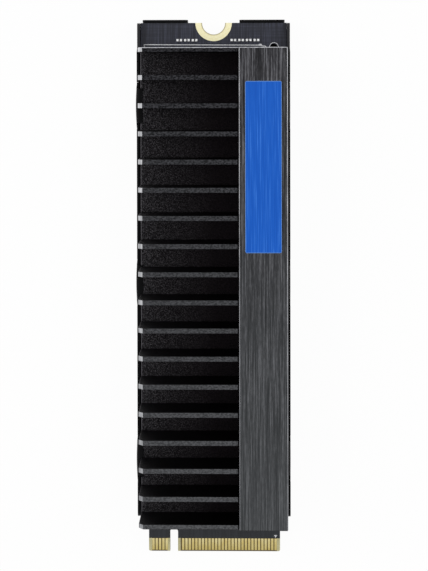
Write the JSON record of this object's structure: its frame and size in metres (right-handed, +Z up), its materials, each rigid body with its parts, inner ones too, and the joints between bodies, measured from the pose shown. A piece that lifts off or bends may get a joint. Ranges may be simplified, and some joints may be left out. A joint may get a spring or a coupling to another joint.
{
  "type": "gumstick solid state drive",
  "caption": "22 by 80 mm plug-in card solid state drive with a gold edge connector, a finned heat sink and a folded clip tray",
  "frame": {"origin": "middle of the bounding box at the tray's flat underside", "axes": "+Y along the card from the gold edge connector to the screw end, +Z up out of the fins, +X to the right with the key slot on the -X side"},
  "size_m": [0.0232, 0.0804, 0.0111],
  "materials": {
    "solder_mask": "satin blue-black solder mask over glass laminate",
    "anodised_aluminium": "black anodised, brushed along the land",
    "black_steel": "thin satin black coat on sheet steel",
    "thermal_pad": "matte grey silicone",
    "blue_film": "blue film, semi-gloss",
    "moulded_chip": "matte mould compound",
    "tinned_part": "ceramic body with tinned ends",
    "ferrite": "moulded ferrite powder",
    "metal_can": "plated lid"
  },
  "bodies": {
    "root": {"circuit_board": "solder_mask", "clip_tray": "black_steel", "heat_sink": "anodised_aluminium", "heat_sink_label": "blue_film", "thermal_pad_top": "thermal_pad", "thermal_pad_bottom": "thermal_pad", "crystal": "metal_can", "flash_memory_chip_1": "moulded_chip", "flash_memory_chip_2": "moulded_chip", "buffer_memory_chip": "moulded_chip", "controller_chip": "moulded_chip", "power_chip": "moulded_chip", "boot_memory_chip": "moulded_chip", "load_switch": "moulded_chip", "power_inductor_1": "ferrite", "power_inductor_2": "ferrite", "power_inductor_3": "ferrite", "end_resistor_1": "tinned_part", "end_resistor_2": "tinned_part", "end_resistor_3": "tinned_part", "end_resistor_4": "tinned_part", "end_resistor_5": "tinned_part", "end_resistor_6": "tinned_part", "end_resistor_7": "tinned_part", "small_capacitor_1": "tinned_part", "small_capacitor_2": "tinned_part", "small_capacitor_3": "tinned_part", "small_capacitor_4": "tinned_part", "power_capacitor_1": "tinned_part", "power_capacitor_2": "tinned_part", "power_capacitor_3": "tinned_part", "input_fuse": "tinned_part"}
  },
  "joints": []
}
